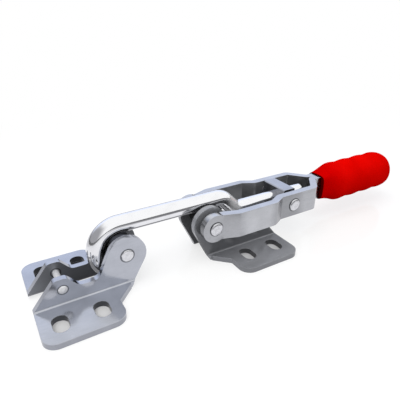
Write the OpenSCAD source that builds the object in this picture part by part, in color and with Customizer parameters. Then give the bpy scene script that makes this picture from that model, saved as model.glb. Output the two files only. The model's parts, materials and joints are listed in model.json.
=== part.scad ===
// Pull-action toggle clamp with a J-shaped hook, closed on its catch bracket.
// X runs along the clamp from the catch bracket to the grip, Z is up, and the
// feet stand on Z = 0. The origin is midway between the front slots of the base.

/* [Bracket sheet] */
// Thickness of the folded steel of both brackets
sheet_t = 3; // [2.6:0.1:3.4]
// Inside radius of the fold between wall and foot
bend_r = 1; // [0.5:0.1:1.8]
// Distance between the two walls of a bracket
wall_gap = 11.8; // [11:0.2:12.8]
// Length of a bracket along the fold
fold_len = 45.4; // [44:0.2:48]
// Length of the part of the catch's feet that holds the slots
catch_foot_len = 36; // [34:0.2:38]
// Length of the part of the base's feet that holds the slots
base_foot_len = 37.2; // [35:0.2:38.4]
// Radius of the outer corners of a foot
foot_corner_r = 6.4; // [3:0.2:8]
// Distance from the middle plane to the outer edge of the catch's feet
catch_foot_reach = 32; // [30:0.5:36]
// Distance from the middle plane to the outer edge of the base's feet
base_foot_reach = 31; // [29:0.5:36]

/* [Slots] */
// Width of a mounting slot
slot_w = 7; // [5:0.1:8]
// Length of a mounting slot from end to end
slot_len = 10.8; // [9:0.1:12]
// Distance between the two slots of one foot
slot_pitch = 18.2; // [17:0.1:19]
// Distance from the middle plane to the catch's slots
catch_slot_y = 21; // [19.5:0.1:22]
// Distance from the middle plane to the base's slots
base_slot_y = 18.6; // [17.5:0.1:20]
// Distance from the foot's end to the nearer slot's centre
slot_end = 8.9; // [7:0.1:10]

/* [Bracket walls] */
// Radius of the round ear about each bracket pin
ear_r = 9.7; // [9:0.1:10]
// Height of the low hump at the wall's other end
hump_z = 16.2; // [15:0.1:16.6]
// Run of the hump's sloping end edge
hump_run = 10.7; // [9.5:0.1:11.5]
// Length of the hump's top between its two slopes
hump_top = 5.3; // [4.5:0.1:6]
// Radius of the hump's two top corners
hump_r = 3; // [2:0.1:3.5]
// Slope of the hump's edge towards the notch
hump_slope = 48.5; // [45:0.5:55]
// Height of the notch between hump and ear
notch_z = 10.2; // [8:0.1:11]
// Radius of the notch's two corners
notch_r = 4.2; // [3:0.1:4.4]
// Distance from the hump's end of the fold to the foot of the ear
ear_start = 30.4; // [29.5:0.1:31.5]

/* [Pin heights] */
// Height of the catch pin
catch_pin_z = 18.1; // [17.8:0.1:18.6]
// Height of the lever's pivot and of the trunnion
pivot_z = 21.85; // [21.4:0.05:22.4]
// Distance along the clamp from the catch pin to the lever's pivot
pin_span = 46.2; // [45:0.1:60]
// Distance from the lever's pivot to the trunnion
crank_len = 53.9; // [52:0.1:56]
// How far the catch's fold runs past its pin
catch_fold_past = 0.6; // [0:0.1:1]
// How far the base's fold runs past the pivot
base_fold_past = 0; // [0:0.1:1]

/* [Pins] */
// Diameter of the pivot, trunnion and catch pins
pin_d = 6.2; // [5:0.1:6.6]
// Diameter of the riveted heads on the pivot and trunnion pins
pin_head_d = 7.2; // [6.8:0.1:9]
// Height of the riveted heads
pin_head_h = 0.9; // [0.5:0.1:1.5]
// How far the staked ends of the catch pin stand out
stake_h = 0.5; // [0.3:0.1:1]
// Diameter of the tie rivets
rivet_d = 3.2; // [2.5:0.1:4]
// Diameter of the tie rivets' domed heads
rivet_head_d = 4.2; // [4:0.1:6]
// Height of the tie rivets' heads
rivet_head_h = 0.8; // [0.5:0.1:1.2]
// Distance from the fold's end to the tie rivet
rivet_in = 13.8; // [12:0.1:15]
// Height of the tie rivet
rivet_z = 10.5; // [9.4:0.1:11.4]
// Diameter of the sleeve on the catch pin, which the hook pulls on
catch_sleeve_d = 12.9; // [12:0.1:13]
// Diameter of the sleeve on the pivot pin, on which the closed rod rests
pivot_sleeve_d = 9; // [8:0.1:9]
// Thickness of the washers beside the pivot
pivot_washer_t = 1.8; // [1.6:0.1:2]
// Diameter of the washers
washer_d = 11; // [9:0.1:12]

/* [Rod and hook] */
// Diameter of the bent rod
rod_d = 9; // [8.6:0.1:9.2]
// Radius of the hook's curl at the middle of the rod
hook_r = 12.6; // [12.5:0.1:12.8]
// How far the hook wraps past level on the far side of the catch pin
hook_wrap = 36; // [32:0.5:38]
// How far the curl's centre lies over the catch pin
hook_rise = 0.4; // [0.1:0.1:0.5]
// Radius of the two bends behind the pivot at the middle of the rod
step_r = 8; // [7:0.5:9]
// Slope of the rod between those bends
step_angle = 45; // [40:1:50]
// Distance from the pivot to the first of those bends
step_start = 8.9; // [7:0.1:12]
// How far the rod runs on behind the trunnion block
rod_tail = 12.9; // [8:0.1:14]
// Chamfer on the rod's two ends
rod_chamfer = 1.2; // [0.5:0.1:1.6]

/* [Trunnion] */
// Length of the trunnion block along the rod
block_l = 8.2; // [7.6:0.1:9]
// Height of the trunnion block
block_h = 15.6; // [13:0.1:16]
// Chamfer on the block's long edges
block_chamfer = 0.6; // [0.3:0.1:1]
// Thickness of the washers beside the trunnion block
block_washer_t = 0.9; // [0.5:0.1:1.2]
// Depth of the trunnion pins in the block
pin_bite = 3.2; // [2:0.1:3.4]

/* [Lever] */
// Thickness of the lever's two plates
lever_t = 4; // [3:0.1:4.4]
// Height of the lever's plates
lever_h = 14.1; // [12:0.1:14.3]
// Radius of the eye about the pivot
eye_r = 7.7; // [7.3:0.1:9.2]
// Distance between the plates in the middle of the lever
mid_gap = 27.4; // [25:0.2:30]
// Distance between the plates at the trunnion
rear_gap = 20; // [19:0.2:21]
// Distance from the pivot to the first joggle, which spreads the plates
joggle_start = 4.8; // [4:0.1:6]
// Length of the first joggle
joggle_len = 8.4; // [7:0.1:10]
// Distance from the pivot to the second joggle, which closes them again
return_start = 37.2; // [34:0.1:38]
// Length of the second joggle
return_len = 6.8; // [6:0.1:7.4]
// Distance from the pivot to where the plates close on each other
taper_start = 69.4; // [68:0.1:72]
// Angle at which they close
taper_angle = 50; // [40:1:55]
// Length of the tang past the closed plates
tang_len = 46; // [30:1:52]
// Inside radius of the folds in the plates
lever_bend_r = 1.2; // [0.6:0.1:2]

/* [Grip] */
// Length of the moulded grip
grip_len = 70; // [66:0.5:90]
// Height of the grip at its fullest
grip_h = 24.8; // [23:0.2:29]
// Width of the grip at its fullest
grip_w = 21.4; // [20:0.2:26]
// Height of the grip's mouth
mouth_h = 17.8; // [16:0.1:18.4]
// Width of the grip's mouth
mouth_w = 12.6; // [11:0.1:14]
// Depth of the finger scallops
scallop = 0.55; // [0.2:0.05:1]
// Distance from the closed plates' corner to the grip's mouth
grip_back = 6.6; // [5:0.1:9]

/* [Fits] */
// Radial play of a pin in the hole that turns on it
run_fit = 0.05; // [0.03:0.01:0.08]
// Radial play of a pin in the hole that it is fixed in
tight_fit = 0.02; // [0.01:0.01:0.03]
// Play between flat faces that slide past each other
face_play = 0.1; // [0.05:0.01:0.2]

/* [Hidden] */

$fn = 64;
eps = 0.01;

// Heights and places along the clamp
base_x1 = slot_pitch + slot_end;
base_x0 = base_x1 - fold_len;
pivot_x = base_x0 + base_fold_past;
catch_pin_x = pivot_x - pin_span;
catch_x1 = catch_pin_x + catch_fold_past;
catch_x0 = catch_x1 - fold_len;
trunnion_x = pivot_x + crank_len;
rod_z = catch_pin_z + hook_rise + hook_r;
rod_r = rod_d / 2;

// Distances from the middle plane
wall_in = wall_gap / 2;
wall_out = wall_in + sheet_t;
fold_y = wall_out + bend_r;
front_in = wall_out + pivot_washer_t + 2 * face_play;
front_out = front_in + lever_t;
mid_in = mid_gap / 2;
rear_in = rear_gap / 2;
rear_out = rear_in + lever_t;
block_y = rear_in - block_washer_t - 2 * face_play;

pin_r = pin_d / 2;
rivet_r = rivet_d / 2;

// Plan of a lever plate, along the middle of its thickness
taper_run = rear_in / tan(taper_angle);
tang_x = pivot_x + taper_start + taper_run;
tang_end = tang_x + tang_len;
grip_x0 = tang_x + grip_back;
steps = 6;

// How far a foot's plan reaches into the fold
fold_lap = 0.5;
// How far the rod's straight lengths reach into its bends, and how much fuller those are
bend_lap = 0.1;
bend_swell = 0.01;

function unit(v) = v / norm(v);
function turn_left(v) = [-v[1], v[0]];
function cross2(a, b) = a[0] * b[1] - a[1] * b[0];

// Corner i of a path, rounded so that the inner side of a strip of thickness t
// has radius r: the strip's two edges, as pairs of points
function corner_edges(p, i, r, t) =
    let (a = unit(p[i] - p[i - 1]), b = unit(p[i + 1] - p[i]),
         bend = asin(cross2(a, b)), side = bend > 0 ? 1 : -1,
         radius = r + t / 2, cut = radius * tan(abs(bend) / 2),
         centre = p[i] - a * cut + turn_left(a) * side * radius)
    [for (k = [0 : steps])
        let (turned = bend * k / steps,
             dir = [a[0] * cos(turned) - a[1] * sin(turned), a[0] * sin(turned) + a[1] * cos(turned)],
             out = -turn_left(dir) * side)
        [centre + out * (radius - side * t / 2), centre + out * (radius + side * t / 2)]];

// Both edges of a strip of thickness t along path p
function strip_edges(p, r, t) =
    let (n = len(p) - 1, a = turn_left(unit(p[1] - p[0])), b = turn_left(unit(p[n] - p[n - 1])))
    concat([[p[0] + a * t / 2, p[0] - a * t / 2]],
           [for (i = [1 : n - 1]) each corner_edges(p, i, r, t)],
           [[p[n] + b * t / 2, p[n] - b * t / 2]]);

module strip(p, r, t) {
    edges = strip_edges(p, r, t);
    n = len(edges) - 1;
    polygon(concat([for (e = edges) e[0]], [for (i = [n : -1 : 0]) edges[i][1]]));
}

// Where the line from point p touches a circle, on the side given as 1 or -1
function touch(p, c, r, side) =
    let (v = c - p, d = norm(v), a = atan2(v[1], v[0]) + side * asin(r / d))
    p + sqrt(d * d - r * r) * [cos(a), sin(a)];

// Extrudes an outline drawn in X and Z to both sides of the middle plane
module across(half) {
    rotate([90, 0, 0]) translate([0, 0, -half]) linear_extrude(2 * half) children();
}

// A round bar along Y between two distances from the middle plane
module bar_y(x, z, r, y0, y1) {
    translate([x, y0, z]) rotate([-90, 0, 0]) cylinder(r = r, h = y1 - y0);
}

// Section of one folded plate, in Y and Z, on the +Y side
module fold_section(reach, height) {
    outer_r = bend_r + sheet_t;
    translate([wall_in, outer_r]) square([sheet_t, height - outer_r]);
    translate([wall_in + outer_r, 0]) square([reach - wall_in - outer_r, sheet_t]);
    intersection() {
        translate([wall_in, 0]) square(outer_r);
        translate([wall_in + outer_r, outer_r]) difference() {
            circle(outer_r);
            circle(bend_r);
        }
    }
}

// Side of a bracket wall, drawn with its hump end at x = 0 and its ear near x = fold_len
module wall_outline(ear_x, ear_z) {
    ear = [ear_x, ear_z];
    ear_foot = [fold_len, 0];
    neck = [ear_start, notch_z];
    ear_front = touch(ear_foot, ear, ear_r, -1);
    ear_back = touch(neck, ear, ear_r, 1);
    lean = atan2(hump_z - sheet_t, hump_run);
    rise = atan2(ear_back[1] - notch_z, ear_back[0] - ear_start);
    top = [hump_run + hump_r * tan(lean / 2), hump_run + hump_top - hump_r * tan(hump_slope / 2)];
    low = [hump_run + hump_top + (hump_z - notch_z) / tan(hump_slope) + notch_r * tan(hump_slope / 2),
           ear_start - notch_r * tan(rise / 2)];
    difference() {
        union() {
            translate(ear) circle(ear_r);
            for (x = top) translate([x, hump_z - hump_r]) circle(hump_r);
            polygon([[0, 0], [0, sheet_t], [top[0] - hump_r * sin(lean), hump_z - hump_r * (1 - cos(lean))],
                     [top[0], hump_z], [top[1], hump_z],
                     [top[1] + hump_r * sin(hump_slope), hump_z - hump_r * (1 - cos(hump_slope))],
                     [low[0] - notch_r * sin(hump_slope), notch_z + notch_r * (1 - cos(hump_slope))],
                     [low[0], notch_z], [low[1], notch_z],
                     [low[1] + notch_r * sin(rise), notch_z + notch_r * (1 - cos(rise))],
                     ear_back, ear, ear_front, ear_foot]);
        }
        for (x = low) translate([x, notch_z + notch_r]) circle(notch_r);
    }
}

// Plan of a foot on the +Y side, with the hump end at x = 0
module foot_outline(foot_len, reach) {
    start = fold_y - fold_lap;
    end = fold_len - 0.6;
    polygon([[0, start], [0, reach - foot_corner_r], [foot_corner_r, reach],
             [foot_len - foot_corner_r, reach], [foot_len, reach - foot_corner_r],
             [foot_len, fold_y + 0.8 + end - foot_len], [end, fold_y + 0.8], [end, start]]);
    for (x = [foot_corner_r, foot_len - foot_corner_r])
        translate([x, reach - foot_corner_r]) circle(foot_corner_r);
}

module slot(x, y) {
    travel = (slot_len - slot_w) / 2;
    translate([x, y, -eps]) linear_extrude(sheet_t + 2 * eps) {
        for (s = [-1, 1]) translate([0, s * travel]) circle(slot_w / 2);
        square([slot_w, 2 * travel], center = true);
    }
}

// One folded plate on the +Y side, with its hump end at x = 0. The last polygon slants
// the fold's end from the ear's edge to the foot's shoulder
module folded_plate(ear_x, ear_z, foot_len, reach, slot_y) {
    height = ear_z + ear_r + 1;
    difference() {
        intersection() {
            rotate([90, 0, 90]) translate([0, 0, -1])
                linear_extrude(fold_len + ear_r + 4) fold_section(reach, height);
            union() {
                across(fold_y) wall_outline(ear_x, ear_z);
                linear_extrude(sheet_t + bend_r) foot_outline(foot_len, reach);
            }
        }
        translate([0, 0, -eps]) linear_extrude(sheet_t + bend_r + 2 * eps)
            polygon([[fold_len - 0.6, fold_y + 0.8], [fold_len + 2.6, wall_out + eps],
                     [fold_len + 6, wall_out + eps], [fold_len + 6, fold_y + 0.8]]);
        for (i = [0, 1]) slot(slot_end + i * slot_pitch, slot_y);
        bar_y(ear_x, ear_z, pin_r + tight_fit, 0, wall_out + 1);
        bar_y(rivet_in, rivet_z, rivet_r + tight_fit, 0, wall_out + 1);
    }
}

module catch_plate() {
    translate([catch_x0, 0, 0])
        folded_plate(catch_pin_x - catch_x0, catch_pin_z, catch_foot_len, catch_foot_reach, catch_slot_y);
}

module base_plate() {
    translate([base_x1, 0, 0]) mirror([1, 0, 0])
        folded_plate(base_x1 - pivot_x, pivot_z, base_foot_len, base_foot_reach, base_slot_y);
}

module catch_plate_near() { color("lightsteelblue") mirror([0, 1, 0]) catch_plate(); }
module catch_plate_far() { color("lightsteelblue") catch_plate(); }
module base_plate_near() { color("slategray") mirror([0, 1, 0]) base_plate(); }
module base_plate_far() { color("slategray") base_plate(); }

// A pin whose two ends stand a little out of the walls, with chamfered rims
module catch_pin() {
    color("silver") {
        bar_y(catch_pin_x, catch_pin_z, pin_r, -wall_out, wall_out);
        for (s = [0, 1]) mirror([0, s, 0]) translate([catch_pin_x, wall_out, catch_pin_z])
            rotate([-90, 0, 0]) cylinder(r1 = pin_r, r2 = pin_r - stake_h * 0.8, h = stake_h);
    }
}

// The sleeve keeps the walls apart and spreads the hook's pull along the pin
module catch_sleeve() {
    color("gray") difference() {
        half = wall_in - face_play;
        bar_y(catch_pin_x, catch_pin_z, catch_sleeve_d / 2, -half, half);
        bar_y(catch_pin_x, catch_pin_z, pin_r + tight_fit, -half - 1, half + 1);
    }
}

// A rivet along Y with a domed head on each end
module tie_rivet(x, z, half, head_r, head_h) {
    bar_y(x, z, rivet_r, -half, half);
    dome_r = (head_r * head_r + head_h * head_h) / (2 * head_h);
    for (s = [0, 1]) mirror([0, s, 0]) translate([x, half, z]) rotate([-90, 0, 0])
        rotate_extrude() intersection() {
            translate([0, head_h - dome_r]) circle(dome_r);
            square([head_r, head_h]);
        }
}

module catch_rivet() {
    color("white") tie_rivet(catch_x0 + rivet_in, rivet_z, wall_out, rivet_head_d / 2, rivet_head_h);
}

module base_rivet() {
    color("white") tie_rivet(base_x1 - rivet_in, rivet_z, wall_out, rivet_head_d / 2, rivet_head_h);
}

// Low round head with a chamfered rim, rising from y = 0
module flat_head() {
    rim = pin_head_h * 0.45;
    cylinder(d = pin_head_d, h = pin_head_h - rim);
    translate([0, 0, pin_head_h - rim])
        cylinder(r1 = pin_head_d / 2, r2 = pin_head_d / 2 - rim, h = rim);
}

module pivot_pin() {
    neck = front_out + face_play;
    color("silver") {
        bar_y(pivot_x, pivot_z, pin_r, -neck, neck);
        for (s = [0, 1]) mirror([0, s, 0])
            translate([pivot_x, neck, pivot_z]) rotate([-90, 0, 0]) flat_head();
    }
}

module pivot_sleeve() {
    half = wall_in - face_play;
    color("gray") difference() {
        bar_y(pivot_x, pivot_z, pivot_sleeve_d / 2, -half, half);
        bar_y(pivot_x, pivot_z, pin_r + tight_fit, -half - 1, half + 1);
    }
}

module ring_y(x, z, outer_r, inner_r, y0, y1) {
    difference() {
        bar_y(x, z, outer_r, y0, y1);
        bar_y(x, z, inner_r, y0 - 1, y1 + 1);
    }
}

module pivot_washer() {
    y0 = wall_out + face_play;
    ring_y(pivot_x, pivot_z, washer_d / 2, pin_r + run_fit, y0, y0 + pivot_washer_t);
}
module pivot_washer_near() { color("dimgray") mirror([0, 1, 0]) pivot_washer(); }
module pivot_washer_far() { color("dimgray") pivot_washer(); }

// Side of a lever plate: a round eye and a bar with a tang
module lever_side() {
    half = lever_h / 2;
    reach = mid_in + lever_t + 1;
    bar_y(pivot_x, pivot_z, eye_r, 0, reach);
    translate([0, 0, pivot_z]) across(reach) polygon([
        [pivot_x + eye_r / 2, half], [tang_end - half / 2, half], [tang_end, half / 2],
        [tang_end, -half / 2], [tang_end - half / 2, -half], [pivot_x + eye_r / 2, -half]]);
}

// Middle of the plate's thickness, seen from above
function lever_path() =
    let (mid = lever_t / 2, half_turn = mid * tan(taper_angle / 2))
    [[pivot_x - eye_r - 1, front_in + mid],
     [pivot_x + joggle_start, front_in + mid],
     [pivot_x + joggle_start + joggle_len, mid_in + mid],
     [pivot_x + return_start, mid_in + mid],
     [pivot_x + return_start + return_len, rear_in + mid],
     [pivot_x + taper_start + half_turn, rear_in + mid],
     [tang_x + half_turn, mid],
     [tang_end + 1, mid]];

module lever_plate() {
    difference() {
        intersection() {
            linear_extrude(pivot_z + eye_r + 1) strip(lever_path(), lever_bend_r, lever_t);
            lever_side();
        }
        bar_y(pivot_x, pivot_z, pin_r + run_fit, 0, front_out + 1);
        bar_y(trunnion_x, pivot_z, pin_r + tight_fit, rear_in - 1, rear_out + 1);
        for (x = tang_rivet_places()) bar_y(x, pivot_z, rivet_r + tight_fit, -1, lever_t + 1);
    }
}
module lever_plate_near() { color("lightgray") mirror([0, 1, 0]) lever_plate(); }
module lever_plate_far() { color("lightgray") lever_plate(); }

// Two rivets inside the grip hold the plates together
function tang_rivet_places() = [tang_end - tang_len * 0.62, tang_end - tang_len * 0.22];
module tang_rivet(x) {
    color("white") tie_rivet(x, pivot_z, lever_t, rivet_head_d / 2, rivet_head_h);
}
module tang_rivet_front() { tang_rivet(tang_rivet_places()[0]); }
module tang_rivet_rear() { tang_rivet(tang_rivet_places()[1]); }

// The grip's section is a superellipse, whose half sizes change along its length
grip_sides = 40;
grip_rings = 34;
scallops = 4;
function ease(s) = s <= 0 ? 0 : s >= 1 ? 1 : s * s * (3 - 2 * s);
// Swell from the mouth to the full size, then the round end
function grip_swell(s) = ease(s / 0.18) * (1 - 0.04 * ease((0.75 - s) / 0.6));
function grip_end(s) = s < 0.77 ? 1 : sqrt(max(0, 1 - pow((s - 0.77) / 0.23, 2)));
function grip_wave(s) =
    s < 0.1 || s > 0.8 ? 0 : scallop * sin(180 * (s - 0.1) / 0.7) * cos(360 * scallops * (s - 0.1) / 0.7 + 180);
function grip_half(s, mouth, full) =
    (mouth / 2 + (full / 2 - mouth / 2) * grip_swell(s) + grip_wave(s)) * grip_end(s);
function grip_ring(s, squareness) =
    [for (k = [0 : grip_sides - 1])
        let (a = 360 * k / grip_sides, c = cos(a), d = sin(a), e = 2 / squareness)
        [grip_x0 + grip_len * s,
         grip_half(s, mouth_w, grip_w) * sign(c) * pow(abs(c), e),
         pivot_z + grip_half(s, mouth_h, grip_h) * sign(d) * pow(abs(d), e)]];
// Rings lie closer together towards the round end
function grip_station(i) = sin(90 * i / grip_rings) * 0.5 + 0.5 * i / grip_rings;

module grip_body() {
    rings = [for (i = [0 : grip_rings - 1]) grip_ring(grip_station(i), grip_station(i) < 0.04 ? 3 : 2.1)];
    tip = [grip_x0 + grip_len, 0, pivot_z];
    n = grip_sides;
    side_faces = [for (i = [0 : grip_rings - 2], k = [0 : n - 1])
        [i * n + k, (i + 1) * n + k, (i + 1) * n + (k + 1) % n, i * n + (k + 1) % n]];
    tip_faces = [for (k = [0 : n - 1])
        [(grip_rings - 1) * n + k, grip_rings * n, (grip_rings - 1) * n + (k + 1) % n]];
    polyhedron(concat([for (r = rings) each r], [tip]),
               concat([[for (k = [0 : n - 1]) k]], side_faces, tip_faces));
}

// The pocket takes the tang and the heads of its rivets
module grip_pocket() {
    half_y = lever_t + face_play;
    half_z = lever_h / 2 + face_play;
    translate([grip_x0 - 1, -half_y, pivot_z - half_z])
        cube([tang_end + face_play - grip_x0 + 1, 2 * half_y, 2 * half_z]);
    groove_y = lever_t + rivet_head_h + face_play;
    groove_z = rivet_head_d / 2 + face_play;
    translate([grip_x0 - 1, -groove_y, pivot_z - groove_z])
        cube([tang_rivet_places()[1] + groove_z - grip_x0 + 1, 2 * groove_y, 2 * groove_z]);
}

module grip() {
    color("red") difference() {
        grip_body();
        grip_pocket();
    }
}

// Block with chamfered long edges, bored along the rod and cross-bored for the pins
module trunnion_block() {
    l = block_l / 2;
    h = block_h / 2;
    c = block_chamfer;
    color("silver") difference() {
        translate([trunnion_x, 0, pivot_z]) across(block_y)
            polygon([[-l, -h + c], [-l, h - c], [-l + c, h], [l - c, h],
                     [l, h - c], [l, -h + c], [l - c, -h], [-l + c, -h]]);
        translate([trunnion_x - l - 1, 0, pivot_z]) rotate([0, 90, 0])
            cylinder(r = rod_r + tight_fit, h = block_l + 2);
        for (s = [0, 1]) mirror([0, s, 0])
            bar_y(trunnion_x, pivot_z, pin_r + run_fit, block_y - pin_bite - face_play, block_y + 1);
    }
}

// Stub pin, riveted in the lever's plate, on which the block turns
module trunnion_pin() {
    bar_y(trunnion_x, pivot_z, pin_r, block_y - pin_bite, rear_out);
    translate([trunnion_x, rear_out, pivot_z]) rotate([-90, 0, 0]) flat_head();
}
module trunnion_pin_near() { color("silver") mirror([0, 1, 0]) trunnion_pin(); }
module trunnion_pin_far() { color("silver") trunnion_pin(); }

module trunnion_washer() {
    y0 = block_y + face_play;
    ring_y(trunnion_x, pivot_z, washer_d / 2, pin_r + run_fit, y0, y0 + block_washer_t);
}
module trunnion_washer_near() { color("dimgray") mirror([0, 1, 0]) trunnion_washer(); }
module trunnion_washer_far() { color("dimgray") trunnion_washer(); }

// A length of rod from a to b in the middle plane, as X and Z, reaching a little into
// the bend at its start and, unless its end is chamfered, into the one at its end
module rod_length(a, b, chamfer = 0) {
    v = b - a;
    l = norm(v);
    reach = chamfer > 0 ? l : l + bend_lap;
    translate([a[0], 0, a[1]]) rotate([0, 90 - atan2(v[1], v[0]), 0]) rotate_extrude()
        polygon([[0, -bend_lap], [rod_r, -bend_lap], [rod_r, reach - chamfer],
                 [rod_r - chamfer, reach], [0, reach]]);
}

// A bend of the rod about centre c, from angle a0 to angle a1, a hair fuller than the rod
module rod_bend(c, r, a0, a1) {
    translate([c[0], 0, c[1]]) rotate([90, 0, 0]) rotate([0, 0, a0])
        rotate_extrude(angle = a1 - a0) translate([r, 0]) circle(rod_r + bend_swell);
}

module j_hook() {
    curl = [catch_pin_x, rod_z - hook_r];
    tip_angle = 180 + hook_wrap;
    tip = curl + hook_r * [cos(tip_angle), sin(tip_angle)];
    tip_dir = [-sin(tip_angle), cos(tip_angle)];
    step_x = pivot_x + step_start;
    drop = rod_z - pivot_z;
    slant = (drop - 2 * step_r * (1 - cos(step_angle))) / sin(step_angle);
    upper_end = [step_x + step_r * sin(step_angle), rod_z - step_r * (1 - cos(step_angle))];
    lower_start = upper_end + slant * [cos(step_angle), -sin(step_angle)];
    level_x = lower_start[0] + step_r * sin(step_angle);
    tail_x = trunnion_x + block_l / 2 + rod_tail;
    color("gainsboro") {
        rod_length(tip, tip + rod_chamfer * tip_dir, rod_chamfer);
        rod_bend(curl, hook_r, 90, tip_angle);
        rod_length([catch_pin_x, rod_z], [step_x, rod_z]);
        rod_bend([step_x, rod_z - step_r], step_r, 90 - step_angle, 90);
        rod_length(upper_end, lower_start);
        rod_bend([level_x, pivot_z + step_r], step_r, 270 - step_angle, 270);
        rod_length([level_x, pivot_z], [tail_x, pivot_z], rod_chamfer);
    }
}

catch_plate_near();
catch_plate_far();
catch_pin();
catch_sleeve();
catch_rivet();
base_plate_near();
base_plate_far();
base_rivet();
pivot_pin();
pivot_sleeve();
pivot_washer_near();
pivot_washer_far();
lever_plate_near();
lever_plate_far();
tang_rivet_front();
tang_rivet_rear();
grip();
trunnion_block();
trunnion_pin_near();
trunnion_pin_far();
trunnion_washer_near();
trunnion_washer_far();
j_hook();
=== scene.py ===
import json
import math

import bmesh
import bpy
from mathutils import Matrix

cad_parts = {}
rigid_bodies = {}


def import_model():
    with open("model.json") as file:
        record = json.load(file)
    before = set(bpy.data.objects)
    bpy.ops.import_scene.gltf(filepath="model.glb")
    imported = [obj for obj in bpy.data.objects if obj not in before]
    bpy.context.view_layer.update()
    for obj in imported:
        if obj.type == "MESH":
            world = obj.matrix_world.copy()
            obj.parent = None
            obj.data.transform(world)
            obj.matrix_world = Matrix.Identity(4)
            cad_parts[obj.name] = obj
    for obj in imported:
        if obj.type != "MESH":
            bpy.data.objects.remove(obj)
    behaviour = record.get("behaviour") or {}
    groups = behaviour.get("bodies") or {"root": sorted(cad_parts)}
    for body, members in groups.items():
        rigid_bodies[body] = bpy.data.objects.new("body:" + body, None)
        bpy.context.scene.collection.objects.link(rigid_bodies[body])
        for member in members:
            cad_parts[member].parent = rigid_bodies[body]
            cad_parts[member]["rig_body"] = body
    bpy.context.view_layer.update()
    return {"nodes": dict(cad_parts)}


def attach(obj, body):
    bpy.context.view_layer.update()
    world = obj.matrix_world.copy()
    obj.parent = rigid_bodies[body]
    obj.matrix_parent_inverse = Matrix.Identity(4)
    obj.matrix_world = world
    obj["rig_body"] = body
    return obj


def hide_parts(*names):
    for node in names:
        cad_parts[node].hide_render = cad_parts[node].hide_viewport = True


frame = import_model()

# Camera: a 35 mm lens on a 36 mm wide sensor, without roll, above the catch end and turned
# towards the grip, as worked out from the photograph's straight edges.
bpy.ops.object.select_all(action="DESELECT")
bpy.ops.object.camera_add(location=(-0.1134, -0.1591, 0.1221),
                          rotation=(math.radians(64.15), 0, math.radians(-30.59)))
camera = bpy.context.object
camera.name = "camera"
camera.data.lens = 35
camera.data.sensor_width = 36
camera.data.clip_start = 0.01
camera.data.clip_end = 50
bpy.context.scene.camera = camera
bpy.context.scene.view_settings.view_transform = "Standard"


# Studio: a pale floor that runs out to white, an even white sky and two soft lamps. Bright metal
# shows what stands round it, so only reflections see a sky that is bluish behind and grey to the
# left, a hazy floor with dim strips of painted shade, and a low dark screen round it all.
SKY_STRENGTH = 0.76
SHADOW_WHITE = 0.68  # share of the floor's white that no shadow takes away
# The line along X from which the floor's distance is measured
CLAMP_MIDDLE = 0.0135
CLAMP_HALF = 0.11
# Middles of the slots in the two feet at Y > 0; the other feet mirror them
CATCH_SLOTS = [(-0.1004, 0.021), (-0.0822, 0.021)]
BASE_SLOTS = [(0.0, 0.0186), (0.0182, 0.0186)]
# Soft edges of the patch of painted shadow on the floor under a slot, from the slot's middle
PATCH_ALONG = (0.0038, 0.0042)
PATCH_ACROSS = (0.0058, 0.0062)


class Tone:
    """A socket in a material. Arithmetic on it adds Math nodes, and node() adds any other."""

    def __init__(self, tree, socket=None):
        self.tree = tree
        self.socket = socket

    def node(self, kind, settings, sockets, output=0):
        made = self.tree.nodes.new(kind)
        for name, value in settings.items():
            setattr(made, name, value)
        for name, value in sockets.items():
            if isinstance(value, Tone):
                self.tree.links.new(value.socket, made.inputs[name])
            else:
                made.inputs[name].default_value = value
        return Tone(self.tree, made.outputs[output] if len(made.outputs) else None)

    def maths(self, kind, a, b=0.0):
        return self.node("ShaderNodeMath", {"operation": kind}, {0: a, 1: b})

    def __add__(self, other):
        return self.maths("ADD", self, other)

    def __radd__(self, other):
        return self.maths("ADD", other, self)

    def __sub__(self, other):
        return self.maths("SUBTRACT", self, other)

    def __rsub__(self, other):
        return self.maths("SUBTRACT", other, self)

    def __mul__(self, other):
        return self.maths("MULTIPLY", self, other)

    def __rmul__(self, other):
        return self.maths("MULTIPLY", other, self)

    def __pow__(self, other):
        return self.maths("POWER", self, other)

    def __abs__(self):
        return self.maths("ABSOLUTE", self)

    def between(self, low, high):
        """0 below low, 1 above high, and a soft step between them."""
        return self.node("ShaderNodeMapRange", {"interpolation_type": "SMOOTHSTEP"},
                         {"Value": self, "From Min": low, "From Max": high})

    def part(self, axis):
        """The X, Y or Z of a vector."""
        return self.node("ShaderNodeSeparateXYZ", {}, {"Vector": self}, axis)

    def noise(self, scale, detail, roughness):
        """Cloudy noise over the places that a vector gives."""
        return self.node("ShaderNodeTexNoise", {}, {
            "Vector": self, "Scale": scale, "Detail": detail, "Roughness": roughness})

    def blend(self, start, end):
        """One colour where this is 0, going over into another where it is 1."""
        start, end = [side if isinstance(side, Tone) else (*side, 1) for side in (start, end)]
        return self.node("ShaderNodeMix", {"data_type": "RGBA"},
                         {"Factor": self, "A": start, "B": end}, "Result")

    def darken(self, colour):
        """The colour times this."""
        return self.node("ShaderNodeMix", {"data_type": "RGBA", "blend_type": "MULTIPLY"},
                         {"Factor": 1.0, "A": (*colour, 1), "B": self}, "Result")

    def under(self, factor, top):
        """This surface with another one laid over it by a factor."""
        return self.node("ShaderNodeMixShader", {}, {0: factor, 1: self, 2: top})

    def ray(self, kind):
        """1 for rays of one kind, such as Camera or Glossy."""
        return self.node("ShaderNodeLightPath", {}, {}, f"Is {kind} Ray")


def bare_material(name):
    """A new material with nothing in it, and the Tone that its nodes are made with."""
    material = bpy.data.materials.new(name)
    material.use_nodes = True
    material.node_tree.nodes.clear()
    return material, Tone(material.node_tree)


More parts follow.
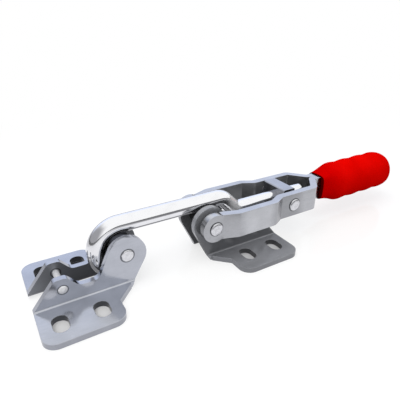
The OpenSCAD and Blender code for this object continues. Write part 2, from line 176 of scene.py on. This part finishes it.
world = bpy.data.worlds.new("sky")
bpy.context.scene.world = world
world.use_nodes = True
world.node_tree.nodes.clear()
sky = Tone(world.node_tree)
seen, mirrored, through = sky.ray("Camera"), sky.ray("Glossy"), sky.ray("Transmission")
way = sky.node("ShaderNodeTexCoord", {}, {}, "Generated")
right, back, up = [way.part(axis) for axis in "XYZ"]
low_behind = back.between(0.05, 0.55) * (1.0 - up.between(0.55, 0.72))
low_left = (0.0 - right).between(0.25, 0.75) * (1.0 - up.between(0.75, 0.97))
reflected = low_left.blend(low_behind.blend((1, 1, 1), (0.86, 0.93, 1.12)), (0.34, 0.34, 0.36))
lit = sky.node("ShaderNodeBackground", {}, {"Color": (1, 1, 1, 1), "Strength": SKY_STRENGTH})
white = sky.node("ShaderNodeBackground", {}, {"Color": (1, 1, 1, 1), "Strength": 1.0})
polish = sky.node("ShaderNodeBackground", {}, {"Color": reflected, "Strength": 1.0})
air = lit.under(seen + through, white).under(mirrored, polish)
sky.node("ShaderNodeOutputWorld", {}, {"Surface": air})

bpy.ops.mesh.primitive_circle_add(vertices=96, radius=9, fill_type="NGON",
                                  location=(0, 0, -0.00004))
floor = bpy.context.object
floor.name = "floor"
floor_paint, paint = bare_material("white_floor")
seen, mirrored = paint.ray("Camera"), paint.ray("Glossy")
place = paint.node("ShaderNodeTexCoord", {}, {}, "Object")
along, across = place.part("X"), place.part("Y")
pale = paint.node("ShaderNodeBsdfDiffuse", {}, {"Color": (0.42, 0.42, 0.42, 1)})
lacquer = paint.node("ShaderNodeBsdfPrincipled", {}, {
    "Base Color": (0.98, 0.98, 0.98, 1), "Roughness": 0.09, "Specular IOR Level": 0.9})
glow, haze, dim, dark = [
    paint.node("ShaderNodeEmission", {}, {"Color": (*colour, 1), "Strength": 1.0})
    for colour in [(1, 1, 1), (0.83, 0.83, 0.86), (0.20, 0.20, 0.21), (0.03, 0.03, 0.035)]]

# What the camera sees: white far off, shadow near the clamp, and painted shadow inside the slots
beyond = paint.maths("MAXIMUM", abs(along - CLAMP_MIDDLE) - CLAMP_HALF, 0.0)
far = ((beyond ** 2.0 + across ** 2.0) ** 0.5).between(0.10, 0.34)
slot_shadow = 0.0
for x, y in CATCH_SLOTS + BASE_SLOTS:
    slot_shadow = slot_shadow + ((1.0 - abs(along - x).between(*PATCH_ALONG))
                         * (1.0 - abs(abs(across) - y).between(*PATCH_ACROSS)))
whiteness = SHADOW_WHITE + (1.0 - SHADOW_WHITE) * far

# What the metal reflects: haze, and dim strips of painted shade ahead of the clamp, beneath it and
# behind it
ahead = (0.0 - across).between(0.066, 0.082) * along.between(-0.10, 0.02)
beneath = ((1.0 - abs(across).between(0.005, 0.011))
           * (1.0 - abs(along + 0.04).between(0.055, 0.075)))
behind = across.between(0.045, 0.10) * 0.30

surface = pale.under(seen + mirrored, lacquer)
surface = surface.under(seen * whiteness * (1.0 - slot_shadow), glow)
surface = surface.under(mirrored * 0.85, haze)
# Painted shadow: a grey glow under each slot for the camera, and dim strips that only reflections see
surface = surface.under(seen * slot_shadow * 0.4 + mirrored * (ahead + beneath + behind), dim)
# Painted shadow: near black on the floor under the far slots
surface = surface.under(seen * slot_shadow * across.between(0.0, 0.001), dark)
paint.node("ShaderNodeOutputMaterial", {}, {"Surface": surface})
floor.data.materials.append(floor_paint)

bpy.ops.mesh.primitive_cylinder_add(vertices=96, radius=1.6, depth=0.20, end_fill_type="NOTHING",
                                    location=(0, 0, 0.12))
screen = bpy.context.object
screen.name = "dark_screen"
screen_paint, paint = bare_material("dark_cloth")
cloth = paint.node("ShaderNodeBsdfDiffuse", {}, {"Color": (0.20, 0.20, 0.21, 1)})
paint.node("ShaderNodeOutputMaterial", {}, {"Surface": cloth})
screen.data.materials.append(screen_paint)
screen.visible_camera = False
screen.visible_diffuse = False
screen.visible_shadow = False
screen.visible_transmission = False

for name, (x, y, z), size, power in [("overhead_softbox", (-0.35, -0.05, 1.1), 0.8, 6.0),
                                     ("front_softbox", (-0.9, -1.0, 0.9), 0.7, 4.8)]:
    bpy.ops.object.light_add(type="AREA", location=(x, y, z),
                             rotation=(math.atan2(math.hypot(x, y), z), 0, math.atan2(x, -y)))
    lamp = bpy.context.object
    lamp.name = name
    lamp.visible_glossy = False
    lamp.data.shape = "SQUARE"
    lamp.data.size = size
    lamp.data.energy = power


# Bracket plates: 3 mm steel sheet, punched, folded once and zinc plated, bright on the catch; the
# base's zinc is duller and painted a darker grey as shade from the lever above it. The press leaves
# the edges rolled over by a quarter of a millimetre, and handling polishes them.
SHEET_EDGE = 0.00025
SLOT_RADIUS = 0.0035
SLOT_TRAVEL = 0.0019  # from a slot's middle to the middle of its round end
# X and Z of the axes of pins, which all lie along Y
CATCH_PIN = (-0.0645, 0.0181)
CATCH_RIVET = (-0.0955, 0.0105)
WELD = 0.000002  # points closer than this become one
SHARP = math.radians(35)


def deselect():
    if bpy.context.object and bpy.context.object.mode != "OBJECT":
        bpy.ops.object.mode_set(mode="OBJECT")
    bpy.ops.object.select_all(action="DESELECT")


def stands_for(piece, node):
    """The piece takes the node's place and moves with its body."""
    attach(piece, frame["nodes"][node]["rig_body"])
    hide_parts(node)


def rolled_copy(node, name, edge, face_finish, edge_finish):
    """A copy of a solid with its facets joined and its sharp edges rounded off."""
    deselect()
    piece = bpy.data.objects.new(name, frame["nodes"][node].data.copy())
    bpy.context.collection.objects.link(piece)
    bpy.context.view_layer.objects.active = piece
    piece.select_set(True)
    piece.data.materials.clear()
    piece.data.materials.append(face_finish)
    piece.data.materials.append(edge_finish)
    bpy.ops.mesh.customdata_custom_splitnormals_clear()
    bpy.ops.object.mode_set(mode="EDIT")
    bpy.ops.mesh.select_all(action="SELECT")
    bpy.ops.mesh.remove_doubles(threshold=WELD)
    bpy.ops.mesh.dissolve_limited(angle_limit=math.radians(0.6), delimit={"NORMAL"})
    bpy.ops.object.mode_set(mode="OBJECT")
    bevel = piece.modifiers.new("rolled_edge", "BEVEL")
    bevel.width = edge
    bevel.segments = 3
    bevel.limit_method = "ANGLE"
    bevel.angle_limit = SHARP
    bevel.material = 1
    bpy.ops.object.modifier_apply(modifier=bevel.name)
    bpy.ops.object.shade_smooth_by_angle(angle=SHARP)
    flats = piece.modifiers.new("true_flats", "WEIGHTED_NORMAL")
    flats.keep_sharp = True
    flats.weight = 80
    bpy.ops.object.modifier_apply(modifier=flats.name)
    stands_for(piece, node)


def plated_steel(name, colour, dull, inside=0.45, metal=1.0, wall=1.0, front=1.0, rear=1.0,
                 zones=(), rings=(), slots=()):
    """Zinc on rolled steel: soft clouds, a fine rolling grain along X and a few faint scuffs.

    Each tone is 1 where a face is as bright as the colour, and below 1 it is painted shade. inside
    is the tone of the faces that look inwards, between the walls, lighter at the catch's open front
    end, wall that of a bracket's wall just above its foot, front and rear those of edges that look
    forward and back, and a zone's that of outward faces between two places along X. A ring is
    painted shade in the gap round a pin, a slot's walls are rough from the punch and darkened with
    painted shade, and a foot's rim beside slots has painted shade."""
    material, paint = bare_material(name)
    place = paint.node("ShaderNodeTexCoord", {}, {}, "Object")
    facing = paint.node("ShaderNodeTexCoord", {}, {}, "Normal")
    along, across, height = [place.part(axis) for axis in "XYZ"]
    drawn = paint.node("ShaderNodeMapping", {}, {"Vector": place, "Scale": (0.06, 1, 1)})
    grain = drawn.noise(2600, 3, 0.6)
    clouds = place.noise(85, 4, 0.55)
    specks = place.noise(900, 2, 0.5)
    worn = drawn.noise(420, 6, 0.75).between(0.62, 0.74)
    shade = (1.0 - (1.0 - clouds.between(0.3, 0.7)) * 0.12 - grain.between(0.35, 0.7) * 0.05
             - worn * 0.08)
    rough = dull + clouds * 0.08 + worn * 0.10

    out = facing.part("Y") * paint.maths("SIGN", across)
    forward = 0.0 - facing.part("X")
    upright = 1.0 - abs(facing.part("Z")).between(0.3, 0.6)
    inward = (0.0 - out).between(0.45, 0.65)
    open_end = 1.0 - along.between(-0.104, -0.085)
    low_wall_shade = height.between(0.0027, 0.0032) * (1.0 - height.between(0.012, 0.030))
    # Painted shade: inner faces, less of it at the catch's open front end, the walls just above the
    # feet, and edges that look forward or back
    painted_shade = [(inward, 1.0 - inside * (1.0 + open_end)),
              (out.between(0.6, 0.9) * low_wall_shade, 1.0 - wall),
              (forward.between(0.3, 0.8), 1.0 - front),
              ((0.0 - forward).between(0.3, 0.6) * height.between(0.004, 0.006), 1.0 - rear)]
    # Painted shade on outward faces between two places along X
    for start, end, tone in zones:
        stretch = (along.between(start - 0.004, start + 0.004)
                   * (1.0 - along.between(end - 0.004, end + 0.004)))
        painted_shade.append((out.between(0.5, 0.8) * stretch, 1.0 - tone))
    # Painted shade in the gap round each pin
    for x, z, inner, outer in rings:
        reach = ((along - x) ** 2.0 + (height - z) ** 2.0) ** 0.5
        gap = reach.between(inner - 0.0001, inner) * (1.0 - reach.between(outer, outer + 0.0003))
        painted_shade.append((gap, 0.7))
    # The slots' walls: rough from the punch, and darkened with painted shade
    for x, y in slots:
        end = paint.maths("MAXIMUM", abs(abs(across) - y) - SLOT_TRAVEL, 0.0)
        reach = ((along - x) ** 2.0 + end ** 2.0) ** 0.5
        punched = 1.0 - reach.between(SLOT_RADIUS + 0.00003, SLOT_RADIUS + 0.00012)
        painted_shade.append((punched, 0.84))
        rough = rough + punched * 0.2
    # Painted shade along the foot's rim just above the floor
    if slots:
        foot_rim_shade = (upright * (1.0 - height.between(0.0025, 0.0029))
                    * abs(across).between(0.0102, 0.0106))
        painted_shade.append((foot_rim_shade, 0.25))
    for mask, loss in painted_shade:
        shade = shade * (1.0 - mask * loss)

    bump = paint.node("ShaderNodeBump", {}, {
        "Strength": 0.07, "Distance": 0.0002, "Height": grain * 0.5 + specks * 0.5})
    steel = paint.node("ShaderNodeBsdfPrincipled", {}, {
        "Base Color": shade.darken(colour), "Metallic": metal - inward * 0.45 * metal,
        "Roughness": rough + inward * 0.15, "Normal": bump})
    paint.node("ShaderNodeOutputMaterial", {}, {"Surface": steel})
    return material


# Painted shade on the catch: its inner faces, the gaps round its pin and rivet, its slots and its
# foot's rim
catch_face = plated_steel(
    "catch_zinc", (0.555, 0.575, 0.63), dull=0.13, inside=0.24,
    rings=[(*CATCH_PIN, 0.0031, 0.0035), (*CATCH_RIVET, 0.0021, 0.0024)], slots=CATCH_SLOTS)
catch_edge = plated_steel("catch_zinc_edge", (0.62, 0.635, 0.67), dull=0.16)
# The base's colours are the catch's zinc darkened as painted shade; more painted shade on its inner
# faces, its walls just above the feet, its rearward edges, its slots and its foot's rim
shaded_base_face = plated_steel("base_zinc", (0.325, 0.333, 0.355), dull=0.20, inside=0.38, metal=0.45,
                         wall=0.46, rear=0.3, slots=BASE_SLOTS)
shaded_base_edge = plated_steel("base_zinc_edge", (0.48, 0.49, 0.51), dull=0.20, rear=0.3)
for bracket, face, edge in [("catch", catch_face, catch_edge), ("base", shaded_base_face, shaded_base_edge)]:
    for side in ("near", "far"):
        rolled_copy(f"{bracket}_plate_{side}", f"{bracket}_sheet_{side}", SHEET_EDGE, face, edge)


# Pins and rivets: bright drawn steel bar, cut to length and headed by an orbital riveting tool,
# which leaves a rounded rim and fine rings on each crown.
PULL_LINE = 21.85  # height of the rod, the pivot and the stub pins, in mm
BASE_RIVET = (0.0133, 0.0105)
PIVOT = (-0.0183, PULL_LINE / 1000)
TRUNNION = (0.0356, PULL_LINE / 1000)
TANG_FRONT = (0.07697, PULL_LINE / 1000)
TANG_REAR = (0.09537, PULL_LINE / 1000)
# A crown from its middle to its rim: drop as a share of its rise, and radius as one of its reach
CROWN = [(0.03, 0.10), (0.0, 0.16), (0.0, 0.66), (0.04, 0.76), (0.12, 0.86), (0.27, 0.94),
         (0.50, 0.985), (0.75, 1.0)]
# A tie rivet's dome from its middle to its rim and to the shank: height and radius, in mm
DOME = [(0.80, 0.25), (0.79, 0.50), (0.70, 0.85), (0.52, 1.30), (0.30, 1.75), (0.12, 2.02),
        (0.0, 2.10), (0.0, 1.60)]


def turned_steel(name, colour, dull, x, z, metal=1.0):
    """Bright steel with turning rings round an axis along Y and a light haze of handling."""
    material, paint = bare_material(name)
    place = paint.node("ShaderNodeTexCoord", {}, {}, "Object")
    reach = ((place.part("X") - x) ** 2.0 + (place.part("Z") - z) ** 2.0) ** 0.5
    rings = paint.maths("SINE", reach * 26000.0)
    haze = place.noise(700, 4, 0.6)
    shade = 1.0 - haze.between(0.35, 0.7) * 0.14 - rings * 0.02
    bump = paint.node("ShaderNodeBump", {}, {
        "Strength": 0.06, "Distance": 0.0001, "Height": rings + haze})
    steel = paint.node("ShaderNodeBsdfPrincipled", {}, {
        "Base Color": shade.darken(colour), "Metallic": metal,
        "Roughness": dull + haze * 0.12, "Normal": bump})
    paint.node("ShaderNodeOutputMaterial", {}, {"Surface": steel})
    return material


def turned_bar(node, name, x, z, outline, metal=1.0):
    """A bar along Y, drawn from one crown to the other through each (place, radius) in mm."""
    deselect()
    here, radius = outline[0]
    bpy.ops.mesh.primitive_circle_add(vertices=56, radius=radius / 1000, fill_type="NGON",
                                      location=(x, here / 1000, z), rotation=(math.pi / 2, 0, 0))
    bar = bpy.context.object
    bar.name = name
    bpy.ops.object.transform_apply(location=True, rotation=True, scale=True)
    bpy.ops.object.mode_set(mode="EDIT")
    bpy.ops.mesh.select_all(action="SELECT")
    for there, wide in outline[1:]:
        bpy.ops.mesh.extrude_region_move(TRANSFORM_OT_translate={
            "value": (0, (there - here) / 1000, 0)})
        bpy.ops.transform.resize(value=(wide / radius, 1, wide / radius),
                                 center_override=(x, there / 1000, z))
        here, radius = there, wide
    bpy.ops.mesh.select_all(action="SELECT")
    bpy.ops.mesh.normals_make_consistent(inside=False)
    bpy.ops.object.mode_set(mode="OBJECT")
    bpy.ops.object.shade_smooth_by_angle(angle=math.radians(38))
    bar.data.materials.append(turned_steel(name + "_steel", (0.80, 0.805, 0.83), 0.16, x, z, metal))
    stands_for(bar, node)


def crown(top, reach, rise):
    """Outline of a riveted crown, from its middle out to its rim."""
    return [(top - rise * drop, reach * wide) for drop, wide in CROWN]


def both_ends(half):
    """The outline of half a bar, from its crown to its middle, carried on to the other crown."""
    return [(-place, wide) for place, wide in half] + list(reversed(half))


turned_bar("catch_pin", "catch_pin_bar", *CATCH_PIN,
           both_ends(crown(top=9.4, reach=3.1, rise=0.5) + [(8.9, 3.1)]))
for node, axis, half, metal in [("catch_rivet", CATCH_RIVET, 8.9, 0.35),
                                ("base_rivet", BASE_RIVET, 8.9, 1.0),
                                ("tang_rivet_front", TANG_FRONT, 4.0, 1.0),
                                ("tang_rivet_rear", TANG_REAR, 4.0, 1.0)]:
    turned_bar(node, node + "_bar", *axis,
               both_ends([(half + rise, wide) for rise, wide in DOME]), metal)
turned_bar("pivot_pin", "pivot_pin_bar", *PIVOT,
           both_ends(crown(top=15.9, reach=3.6, rise=0.9) + [(15.0, 3.6), (15.0, 3.1)]))
stub = crown(top=14.9, reach=3.6, rise=0.9) + [(14.0, 3.6), (14.0, 3.1), (5.9, 3.1), (5.7, 2.9)]
for side, turn in (("near", -1), ("far", 1)):
    turned_bar("trunnion_pin_" + side, "trunnion_stub_" + side, *TRUNNION, [
        (turn * place, wide) for place, wide in stub])


# Sleeves and washers: the sleeves are cut from tube and the washers are punched from bright strip,
# and all are slipped over the pins before the riveting.
SLEEVE_EDGE = 0.00015
WASHER_STEEL = (0.50, 0.50, 0.52)
# The sleeves are painted near black: painted shade in the gaps where they show
for node, axis, colour in [("catch_sleeve", CATCH_PIN, (0.07, 0.07, 0.075)),
                           ("pivot_sleeve", PIVOT, (0.09, 0.09, 0.095)),
                           ("pivot_washer_near", PIVOT, WASHER_STEEL),
                           ("pivot_washer_far", PIVOT, WASHER_STEEL),
                           ("trunnion_washer_near", TRUNNION, WASHER_STEEL),
                           ("trunnion_washer_far", TRUNNION, WASHER_STEEL)]:
    ring_steel = turned_steel(node + "_steel", colour, 0.18, *axis)
    rolled_copy(node, node + "_ring", SLEEVE_EDGE, ring_steel, ring_steel)


# Lever plates: 4 mm steel, folded twice to clear the rod and closed on each other behind it,
# plated like the brackets.
LEVER_EDGE = 0.0003
# Painted shade on the lever: its inner faces, its forward edges, the gaps round the pivot and
# trunnion pins, and darker stretches of its outer faces along X
lever_face = plated_steel(
    "lever_zinc", (0.63, 0.64, 0.665), dull=0.16, inside=0.28, front=0.45,
    zones=[(-0.03, -0.002, 0.80), (0.0175, 0.041, 0.64), (0.041, 0.070, 0.87)],
    rings=[(*PIVOT, 0.0036, 0.0039), (*TRUNNION, 0.0036, 0.0039)])
lever_edge = plated_steel("lever_zinc_edge", (0.62, 0.63, 0.67), dull=0.18)
for side in ("near", "far"):
    rolled_copy("lever_plate_" + side, "lever_sheet_" + side, LEVER_EDGE, lever_face, lever_edge)


# Trunnion block: a milled bar of bright steel, bored along its length for the rod and across
# it for the two stub pins.
BLOCK_EDGE = 0.00015
block_face = plated_steel("block_steel", (0.52, 0.53, 0.57), dull=0.14)
block_edge = plated_steel("block_steel_edge", (0.62, 0.63, 0.66), dull=0.16)
rolled_copy("trunnion_block", "rod_block", BLOCK_EDGE, block_face, block_edge)


# Hook: a 9 mm round bar, bent cold to a J round the catch pin and to a step ahead of the block,
# polished and chromed. Both ends are chamfered. All its sizes are in mm.
ROD = 4.5
ROD_END = 3.3
CHAMFER = 1.2
TAIL = 52.6
STEP = 45  # degrees that the rod turns up by, and back again
STEP_FOOT = (6.478, 29.85)  # middle of the bend where it turns up, as X and Z
STEP_HEAD = (-9.4, 23.1)  # middle of the bend where it turns back
SLOPE_END = (-3.743, 28.757)
HOOK_MIDDLE = (-64.5, 18.5)
HOOK_TOP = 31.1
HOOK_TURN = 126  # degrees


def pick(test):
    """Selects the points of the piece in edit mode that pass the test, which is given mm."""
    shape = bmesh.from_edit_mesh(bpy.context.object.data)
    for point in shape.verts:
        point.select = test(point.co * 1000)
    shape.select_flush_mode()
    bmesh.update_edit_mesh(bpy.context.object.data)


def draw_on(x, z, new_radius):
    """Carries the rod's open end straight on to x, z, and widens or narrows it there."""
    global here, radius
    bpy.ops.mesh.extrude_region_move(TRANSFORM_OT_translate={
        "value": ((x - here[0]) / 1000, 0, (z - here[1]) / 1000)})
    grow = new_radius / radius
    bpy.ops.transform.resize(value=(grow, grow, grow), center_override=(x / 1000, 0, z / 1000))
    here = (x, z)
    radius = new_radius


def bend_on(centre, angle, steps):
    """Bends the rod on round a centre. A positive angle turns it up and over."""
    global here
    bpy.ops.mesh.spin(steps=steps, angle=math.radians(-angle), axis=(0, 1, 0),
                      center=(centre[0] / 1000, 0, centre[1] / 1000))
    turn = math.radians(angle)
    x, z = here[0] - centre[0], here[1] - centre[1]
    here = (centre[0] + x * math.cos(turn) + z * math.sin(turn),
            centre[1] - x * math.sin(turn) + z * math.cos(turn))


deselect()
bpy.ops.mesh.primitive_circle_add(vertices=72, radius=ROD_END / 1000, rotation=(0, math.pi / 2, 0),
                                  location=(TAIL / 1000, 0, PULL_LINE / 1000))
hook = bpy.context.object
hook.name = "bent_rod"
bpy.ops.object.transform_apply(location=True, rotation=True, scale=True)
bpy.ops.object.mode_set(mode="EDIT")
bpy.ops.mesh.select_mode(type="VERT")
bpy.ops.mesh.select_all(action="SELECT")
here = (TAIL, PULL_LINE)
radius = ROD_END
draw_on(TAIL - CHAMFER, PULL_LINE, ROD)
draw_on(STEP_FOOT[0], PULL_LINE, ROD)
bend_on(STEP_FOOT, STEP, 14)
draw_on(*SLOPE_END, ROD)
bend_on(STEP_HEAD, -STEP, 14)
draw_on(HOOK_MIDDLE[0], HOOK_TOP, ROD)
bend_on(HOOK_MIDDLE, -HOOK_TURN, 48)
heading = math.radians(180 + HOOK_TURN)
draw_on(here[0] + CHAMFER * math.cos(heading), here[1] + CHAMFER * math.sin(heading), ROD_END)
bpy.ops.mesh.edge_face_add()
pick(lambda point: point.x > TAIL - 0.01)
bpy.ops.mesh.edge_face_add()
bpy.ops.mesh.select_all(action="SELECT")
bpy.ops.mesh.remove_doubles(threshold=WELD)
bpy.ops.mesh.normals_make_consistent(inside=False)
bpy.ops.object.mode_set(mode="OBJECT")
bpy.ops.object.shade_smooth_by_angle(angle=math.radians(30))

chrome, paint = bare_material("hook_chrome")
place = paint.node("ShaderNodeTexCoord", {}, {}, "Object")
haze = place.noise(160, 4, 0.6)
fine = place.noise(1800, 3, 0.6)
shade = 1.0 - haze.between(0.4, 0.75) * 0.05
bump = paint.node("ShaderNodeBump", {}, {"Strength": 0.03, "Distance": 0.0001, "Height": fine})
# Painted highlight: over the bend where the bar turns up, the chrome is made half metal and rougher,
# so that it shows a lighter grey
bend_painted_light = place.part("X").between(-0.006, 0.0) * (1.0 - place.part("X").between(0.0035, 0.0065))
metal = paint.node("ShaderNodeBsdfPrincipled", {}, {
    "Base Color": shade.darken((0.94, 0.943, 0.96)), "Metallic": 1.0 - bend_painted_light * 0.5,
    "Roughness": 0.075 + haze * 0.05 + bend_painted_light * 0.1, "Normal": bump})
paint.node("ShaderNodeOutputMaterial", {}, {"Surface": metal})
hook.data.materials.append(chrome)
stands_for(hook, "j_hook")


# Grip: soft red plastic, moulded on a steel core that leaves the pocket for the tang. It swells
# from a squared mouth, has four shallow scallops above and below, and ends round and drooping.
# All its sizes are in mm.
MOUTH = 66.09
GRIP_LEN = 70.0
TANG_END = 105.6
DOMES_END = 97.6  # as far back as the rear rivet's domes reach
MOUTH_HALF = (6.6, 7.8, 8.2)  # half width, height above the pull line, height below it
SWELL = (4.05, 4.8, 4.5)  # what the full body adds to each of them
SCALLOPS_FADE = 8  # length over which the scallops come in and go out
SCALLOPS_STOP = 130
TIP = 0.77  # share of the length at which the round end starts
DROOP = 2.7


def ease(t):
    t = min(1.0, max(0.0, t))
    return t * t * (3 - 2 * t)


def scallop(x, depth, crest, pitch, start):
    """What a row of scallops adds to the grip at x."""
    wave = depth * math.cos(2 * math.pi * (x - crest) / pitch)
    return wave * ease((x - start) / SCALLOPS_FADE) * ease((SCALLOPS_STOP - x) / SCALLOPS_FADE)


def rounding_off(s, start, power):
    """Share of a size that is left at s, where it goes to nothing along a round end."""
    end = min(1.0, max(0.0, (s - start) / (1 - start)))
    return (1 - end ** power) ** (1 / power)


def grip_section(x):
    """Half width, half height, middle height and squareness of the grip at x."""
    s = (x - MOUTH) / GRIP_LEN
    wide = MOUTH_HALF[0] + SWELL[0] * ease(s / 0.225)
    over = MOUTH_HALF[1] + SWELL[1] * ease(s / 0.177)
    under = MOUTH_HALF[2] + SWELL[2] * ease(s / 0.235)
    over += scallop(x, depth=0.34, crest=79.44, pitch=13.65, start=70)
    under += scallop(x, depth=0.40, crest=82.80, pitch=13.58, start=72)
    wide *= rounding_off(s, start=0.742, power=2.2)
    over *= rounding_off(s, start=TIP, power=2.02)
    under *= rounding_off(s, start=TIP, power=3.0)
    sag = DROOP * max(0.0, (s - TIP) / (1 - TIP)) ** 2
    square = 0.77 - 0.335 * ease(s / 0.17)
    return wide, (over + under) / 2, PULL_LINE + (over - under) / 2 - sag, square


def cage_sizes(wide, high, square):
    """Places of the cage's side points and of its top and bottom points, so that the smooth
    section that it gives has the half sizes asked for."""
    top_y, side_z = square * wide, square * high
    return (24 * wide - top_y) / 23, side_z, top_y, (24 * high - side_z) / 23


def fit_ring(x, old, new, middle):
    """Moves the ring's side points, then its top and bottom points, to their new places."""
    for y, z in ((0, 1), (2, 3)):
        pick(lambda point: abs(point.x - x) < 0.002 and abs(abs(point.y) - old[y]) < 0.002
             and abs(abs(point.z - middle) - old[z]) < 0.002)
        bpy.ops.transform.resize(value=(1, new[y] / old[y], new[z] / old[z]),
                                 center_override=(x / 1000, 0, middle / 1000))
    pick(lambda point: abs(point.x - x) < 0.002)


deselect()
bpy.ops.mesh.primitive_circle_add(vertices=8, radius=0.001, rotation=(0, math.pi / 2, 0),
                                  location=(MOUTH / 1000, 0, PULL_LINE / 1000))
grip = bpy.context.object
grip.name = "moulded_grip"
bpy.ops.object.transform_apply(location=True, rotation=True, scale=True)
bpy.ops.object.mode_set(mode="EDIT")
bpy.ops.mesh.select_mode(type="VERT")
bpy.ops.mesh.select_all(action="SELECT")
turn = math.radians(22.5)
bpy.ops.transform.rotate(value=turn, orient_axis="X",
                         center_override=(MOUTH / 1000, 0, PULL_LINE / 1000))
cage = (math.cos(turn), math.sin(turn), math.sin(turn), math.cos(turn))
here, level = MOUTH, PULL_LINE
stations = [0.0, 0.35, 0.9] + [2.2 + 1.7 * step for step in range(31)]
stations += [GRIP_LEN * (TIP + (1 - TIP) * math.sin(math.radians(turn)))
             for turn in (12, 24, 36, 47, 57, 66, 74, 80.5, 86)]
for station in stations:
    x = MOUTH + station
    wide, high, middle, square = grip_section(x)
    if station > 0:
        bpy.ops.mesh.extrude_region_move(TRANSFORM_OT_translate={"value": ((x - here) / 1000, 0, 0)})
    bpy.ops.transform.translate(value=(0, 0, (middle - level) / 1000))
    new_cage = cage_sizes(wide, high, square)
    fit_ring(x, cage, new_cage, middle)
    here, level, cage = x, middle, new_cage
bpy.ops.mesh.edge_face_add()
pick(lambda point: abs(point.x - MOUTH) < 0.001)
bpy.ops.mesh.extrude_region_move(TRANSFORM_OT_translate={"value": (0, 0, 0)})
bpy.ops.transform.resize(value=(1, 0.93, 0.95), center_override=(MOUTH / 1000, 0, PULL_LINE / 1000))
bpy.ops.mesh.edge_face_add()
bpy.ops.mesh.select_all(action="SELECT")
bpy.ops.mesh.normals_make_consistent(inside=False)
bpy.ops.object.mode_set(mode="OBJECT")
smooth = grip.modifiers.new("smooth", "SUBSURF")
smooth.levels = 3
smooth.render_levels = 3
bpy.ops.object.modifier_apply(modifier=smooth.name)
bpy.ops.object.shade_smooth_by_angle(angle=math.radians(40))


def cut_core(name, back, half_wide, half_high, rounding=0):
    """Cuts the room for a bar that reaches from the mouth back to the place given."""
    deselect()
    front = MOUTH - 2
    bpy.ops.mesh.primitive_cube_add(size=0.002,
                                    location=((front + back) / 2000, 0, PULL_LINE / 1000))
    core = bpy.context.object
    core.name = name
    core.scale = ((back - front) / 2, half_wide, half_high)
    bpy.ops.object.transform_apply(location=True, rotation=True, scale=True)
    if rounding:
        bpy.ops.object.mode_set(mode="EDIT")
        shape = bmesh.from_edit_mesh(core.data)
        bpy.ops.mesh.select_mode(type="EDGE")
        for edge in shape.edges:
            a, b = edge.verts
            edge.select = abs(a.co.x - b.co.x) > 0.001
        bmesh.update_edit_mesh(core.data)
        bpy.ops.mesh.bevel(offset=rounding / 1000, segments=5)
        bpy.ops.object.mode_set(mode="OBJECT")
    deselect()
    grip.select_set(True)
    bpy.context.view_layer.objects.active = grip
    room = grip.modifiers.new("room", "BOOLEAN")
    room.operation = "DIFFERENCE"
    room.solver = "EXACT"
    room.object = core
    bpy.ops.object.modifier_apply(modifier=room.name)
    bpy.data.objects.remove(core, do_unlink=True)


# The mouth's lip, the pocket of the tang, and the slot that lets the rivets' domes in
cut_core("mouth_core", MOUTH + 1.2, half_wide=4.3, half_high=7.35, rounding=0.3)
cut_core("tang_core", TANG_END, half_wide=4.1, half_high=7.15)
cut_core("rivet_core", DOMES_END, half_wide=4.9, half_high=2.2)
bpy.ops.object.shade_smooth_by_angle(angle=math.radians(40))

red, paint = bare_material("grip_red")
place = paint.node("ShaderNodeTexCoord", {}, {}, "Object")
depth = place.part("X") - MOUTH / 1000
seam = 1.0 - abs(place.part("Y")).between(0.00008, 0.00030)
ripple = place.noise(300, 3, 0.5)
clouds = place.noise(55, 3, 0.5)
rubbed = place.noise(900, 4, 0.7)
body_red = clouds.between(0.3, 0.7).blend((0.63, 0.001, 0.0), (0.72, 0.002, 0.001))
# Painted shade: a darker red over the first 5 to 18 mm behind the mouth, and near black on the
# mouth's face
neck_shaded_red = depth.between(0.005, 0.018).blend((0.52, 0.0, 0.0), body_red)
mouth_shaded_red = depth.between(0.0002, 0.0010).blend((0.08, 0.0, 0.0), neck_shaded_red)
bump = paint.node("ShaderNodeBump", {}, {
    "Strength": 0.25, "Distance": 0.0002, "Height": ripple * 0.4 + rubbed * 0.1 + seam * 0.5})
plastic = paint.node("ShaderNodeBsdfPrincipled", {}, {
    "Base Color": mouth_shaded_red, "Roughness": 0.38 + rubbed * 0.10, "Specular IOR Level": 0.0, "Normal": bump})
paint.node("ShaderNodeOutputMaterial", {}, {"Surface": plastic})
grip.data.materials.append(red)
stands_for(grip, "grip")

deselect()
